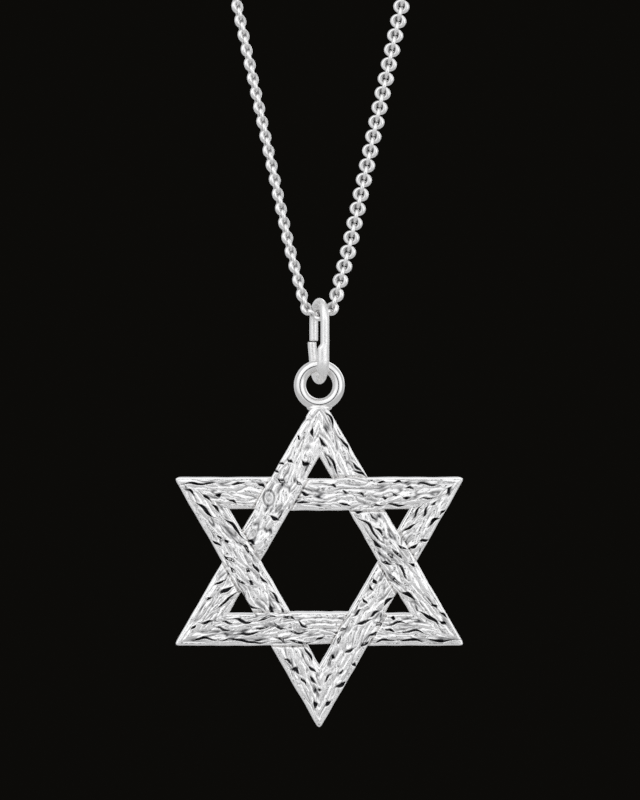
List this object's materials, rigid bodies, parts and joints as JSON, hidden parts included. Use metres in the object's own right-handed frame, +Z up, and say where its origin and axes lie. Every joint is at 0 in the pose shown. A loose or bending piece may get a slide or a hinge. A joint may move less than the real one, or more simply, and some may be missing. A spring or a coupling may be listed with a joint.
{
  "type": "star of david pendant necklace",
  "caption": "Silver six-pointed star pendant of two interlaced triangles in bark relief, hung by an oval bail on a fine link chain.",
  "frame": {"origin": "underside of the clasp ring at the top of the closed loop, where the necklace rests on the back of the neck or on a hook", "axes": "+Z up along the hanging necklace, with the star below; the star's relief faces -Y and its plain back +Y; +X to the right of someone who looks at the relief"},
  "size_m": [0.0728, 0.004, 0.2374],
  "materials": {
    "star_silver": "cast bark texture, bright silver with dark crevices, smooth polished rims",
    "bail_silver": "polished silver wire",
    "chain_silver": "polished silver links, lightly toned in the gaps",
    "clasp_silver": "polished silver"
  },
  "bodies": {
    "necklace": {"chain": "chain_silver", "clasp": "clasp_silver"},
    "bail": {"bail": "bail_silver"},
    "star": {"star": "star_silver"}
  },
  "joints": [
    {"name": "bail_swing", "type": "hinge", "parent": "necklace", "child": "bail", "pos_m": [0, 0, -0.19705], "axis": [1, 0, 0], "range_deg": [-60, 60]},
    {"name": "star_swing", "type": "hinge", "parent": "bail", "child": "star", "pos_m": [0, 0, -0.20246], "axis": [0.2756, -0.9613, 0], "range_deg": [-75, 75]}
  ]
}
